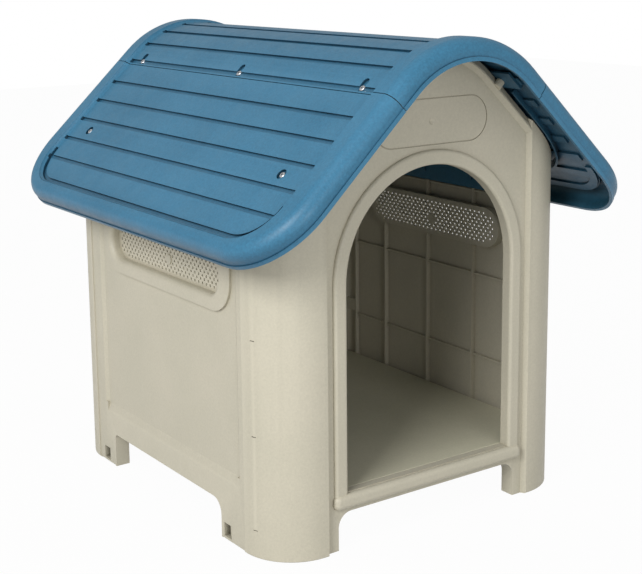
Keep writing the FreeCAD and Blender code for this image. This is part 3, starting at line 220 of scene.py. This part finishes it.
def moulded_plastic(name, colour, shade, rough, grain, mottle, crease_shade, reach, dust=None, under=None):
    """Grained plastic: speckle, faint clouds, a highlight painted on sharp edges,
    and shade painted in creases and deep hollows.

    The grain is a size and a height in metres, and the colour for creases paints shade into the
    corners within reach.
    Where they are given, dust lies in patches on top, and painted shade darkens what is sheltered
    and what faces down.
    """
    grain_size, grain_height = grain
    tree = new_material(name)
    place = tree.add("ShaderNodeTexCoord").outputs["Object"]
    geometry = tree.add("ShaderNodeNewGeometry")
    shader = tree.add("ShaderNodeBsdfPrincipled")

    cloud = tree.noise(place, CLOUD_SCALE, detail=3.0)
    speck = tree.noise(place, SPECK_SCALE, detail=3.0, roughness=0.65)
    colour_field = tree.blend(tree.ramp(cloud, NOISE_SPAN), colour, shade)
    tone = tree.ramp(speck, NOISE_SPAN, 1.0 - mottle, 1.0 + mottle)
    toned = tree.add("ShaderNodeVectorMath", operation="SCALE")
    tree.join(colour_field, toned.inputs[0])
    tree.join(tone, toned.inputs["Scale"])
    surface = toned.outputs[0]

    # painted shade in creases and corners
    surface = tree.tint(surface, crease_shade, tree.openness(reach, CREASE_SHADE_SPAN))
    # painted shade in deep hollows
    surface = tree.tint(surface, HOLLOW_SHADE_TINT, tree.openness(HOLLOW_SHADE_REACH, HOLLOW_SHADE_SPAN))
    if under:
        # painted shade where other parts shelter the surface
        lit = tree.openness(SHELTER_SHADE_REACH, SHELTER_SHADE_SPAN, own_mesh=False)
        surface = tree.tint(surface, under, lit)
        # painted shade on faces that look down
        surface = tree.tint(surface, UNDERSIDE_SHADE_TINT, tree.upward(geometry, UNDERSIDE_SHADE_SPAN))

    # lighter sharp edges: a painted highlight
    edge_highlight = tree.ramp(geometry.outputs["Pointiness"], EDGE_HIGHLIGHT_SPAN, 0.0, EDGE_HIGHLIGHT)
    highlight_colour = tuple(min(1.0, part * HIGHLIGHT_GAIN + HIGHLIGHT_LIFT) for part in colour)
    surface = tree.blend(edge_highlight, surface, highlight_colour)
    if dust:
        patches = tree.ramp(tree.noise(place, DUST_SCALE), DUST_PATCH_SPAN)
        lying = tree.math("MULTIPLY", tree.upward(geometry, DUST_TILT_SPAN), patches)
        surface = tree.blend(tree.math("MULTIPLY", lying, DUST_COVER), surface, dust)

    bumps = tree.noise(place, 1.0 / grain_size, roughness=0.55)
    pores = tree.add("ShaderNodeTexVoronoi", feature="SMOOTH_F1")
    tree.feed(pores, Vector=place, Scale=PORES_PER_GRAIN / grain_size)
    height = tree.math("ADD", bumps, tree.math("MULTIPLY", pores.outputs["Distance"], PORE_DEPTH))
    wear = tree.noise(place, WEAR_SCALE, detail=4.0, roughness=0.6)
    tree.feed(
        shader,
        Base_Color=surface,
        Normal=tree.relief(height, grain_height, GRAIN_STRENGTH),
        Roughness=tree.ramp(wear, NOISE_SPAN, rough - SMOOTHER, rough + ROUGHER),
        IOR=PLASTIC_IOR,
    )
    return tree.finish(shader)


def screw_metal(bright, dull, slot_shade):
    """Zinc-plated steel with faint patches and fine pits, and painted shade in the driver slot."""
    tree = new_material("screw_metal")
    place = tree.add("ShaderNodeTexCoord").outputs["Object"]
    shader = tree.add("ShaderNodeBsdfPrincipled")
    patches = tree.noise(place, PLATING_SCALE, detail=3.0)
    plated = tree.blend(tree.ramp(patches, PLATING_SPAN), bright, dull)
    tree.feed(
        shader,
        # painted shade in the driver slot
        Base_Color=tree.blend(tree.openness(SLOT_SHADE_REACH, SLOT_SHADE_SPAN), slot_shade, plated),
        Metallic=1.0,
        Roughness=tree.ramp(patches, NOISE_SPAN, *PLATING_ROUGHNESS),
        Normal=tree.relief(tree.noise(place, PIT_SCALE), PIT_HEIGHT, PIT_STRENGTH),
    )
    return tree.finish(shader)


ROOF = moulded_plastic(
    "roof_plastic",
    colour=linear(54, 115, 147),
    shade=linear(48, 108, 139),
    rough=0.42,
    grain=(0.0012, 0.0002),
    mottle=0.15,
    # painted shade in the grooves and corners
    crease_shade=(0.38, 0.5, 0.56),
    reach=0.014,
    dust=linear(120, 150, 160),
    # painted shade inside the house and under the roof
    under=(0.34, 0.3, 0.27),
)
WALL = moulded_plastic(
    "wall_plastic",
    colour=linear(193, 187, 169),
    shade=linear(187, 182, 164),
    rough=0.5,
    grain=(0.0012, 0.00014),
    mottle=0.05,
    # painted shade in corners
    crease_shade=(0.86, 0.85, 0.82),
    reach=0.008,
)
FLOOR = moulded_plastic(
    "floor_plastic",
    colour=linear(204, 200, 178),
    shade=linear(197, 194, 171),
    rough=0.5,
    grain=(0.0014, 0.0001),
    mottle=0.05,
    # painted shade in corners
    crease_shade=(0.8, 0.8, 0.76),
    reach=0.01,
)
METAL = screw_metal(
    bright=linear(240, 243, 246),
    dull=linear(200, 203, 206),
    # painted shade in the driver slot
    slot_shade=linear(60, 58, 52),
)

# the nodes that are not listed are the screws
FINISHES = {
    "front_wall": WALL,
    "back_wall": WALL,
    "left_wall": WALL,
    "right_wall": WALL,
    "floor_panel": FLOOR,
    "roof_cap": ROOF,
    "roof_panel_left": ROOF,
    "roof_panel_right": ROOF,
}
for name, node in nodes.items():
    node.data.materials.clear()
    node.data.materials.append(FINISHES.get(name, METAL))


# ---------------------------------------------------------------- floor, light and camera


def backdrop_material(tone, fleck_tone):
    """White to the camera and to reflections; elsewhere a pale floor that takes shadows."""
    tree = new_material("backdrop_paper")
    rays = tree.add("ShaderNodeLightPath")
    place = tree.add("ShaderNodeTexCoord").outputs["Object"]
    fleck = tree.ramp(tree.noise(place, PAPER_SCALE, detail=4.0), NOISE_SPAN)
    paper = tree.add("ShaderNodeBsdfDiffuse")
    tree.feed(paper, Color=tree.blend(fleck, tone, fleck_tone))
    glow = tree.add("ShaderNodeEmission")
    seen = tree.math("MAXIMUM", rays.outputs["Is Camera Ray"], rays.outputs["Is Glossy Ray"])
    seen = tree.math("MAXIMUM", seen, rays.outputs["Is Transmission Ray"])
    return tree.finish(tree.mix_shaders(tree.math("MULTIPLY", seen, PAPER_WHITENESS), paper, glow))


def floor():
    """Wide plate under the feet."""
    mesh = bpy.data.meshes.new("studio_floor")
    quarters = ((-1, -1), (1, -1), (1, 1), (-1, 1))
    corners = [(x * FLOOR_REACH, y * FLOOR_REACH, 0) for x, y in quarters]
    mesh.from_pydata(corners, [], [(0, 1, 2, 3)])
    made = bpy.data.objects.new("studio_floor", mesh)
    bpy.context.scene.collection.objects.link(made)
    made.location.z = -FLOOR_DROP
    mesh.materials.append(backdrop_material(linear(198, 198, 196), linear(204, 204, 202)))


def world():
    """Plain white to the camera, and a weaker white light from all round."""
    made = bpy.data.worlds.new("studio")
    bpy.context.scene.world = made
    tree = Tree(made, "ShaderNodeOutputWorld")
    rays = tree.add("ShaderNodeLightPath")
    seen = tree.math("MAXIMUM", rays.outputs["Is Camera Ray"], rays.outputs["Is Transmission Ray"])
    fill = tree.feed(tree.add("ShaderNodeBackground"), Color=WHITE, Strength=FILL_STRENGTH)
    white = tree.feed(tree.add("ShaderNodeBackground"), Color=WHITE, Strength=BACKGROUND_STRENGTH)
    tree.finish(tree.mix_shaders(seen, fill, white))


def lamp(name, place, target, side, power):
    """Square area lamp that faces its target."""
    data = bpy.data.lights.new(name, "AREA")
    data.shape = "SQUARE"
    data.size = side
    data.energy = power
    made = bpy.data.objects.new(name, data)
    made.location = place
    made.rotation_euler = (Vector(target) - Vector(place)).to_track_quat("-Z", "Y").to_euler()
    bpy.context.scene.collection.objects.link(made)


def camera():
    """The photograph's own view: lens, place and tilt fitted to the object's edges."""
    azimuth = math.radians(CAMERA_AZIMUTH)
    elevation = math.radians(CAMERA_ELEVATION)
    roll = math.radians(CAMERA_ROLL)
    level = math.cos(elevation)
    back = Vector((math.sin(azimuth) * level, -math.cos(azimuth) * level, math.sin(elevation)))
    right = (-back).cross(Vector((0, 0, 1))).normalized()
    up = right.cross(-back)
    across = right * math.cos(roll) + up * math.sin(roll)
    upward = up * math.cos(roll) - right * math.sin(roll)
    data = bpy.data.cameras.new("photo_view")
    data.lens = LENS
    data.sensor_width = SENSOR_WIDTH
    data.shift_y = LENS_SHIFT
    made = bpy.data.objects.new("photo_view", data)
    turn = Matrix((across, upward, back)).transposed().to_4x4()
    made.matrix_world = Matrix.Translation(CAMERA_PLACE) @ turn
    bpy.context.scene.collection.objects.link(made)
    bpy.context.scene.camera = made


floor()
world()
for settings in LAMPS:
    lamp(*settings)
camera()
bpy.context.scene.view_settings.view_transform = "Standard"
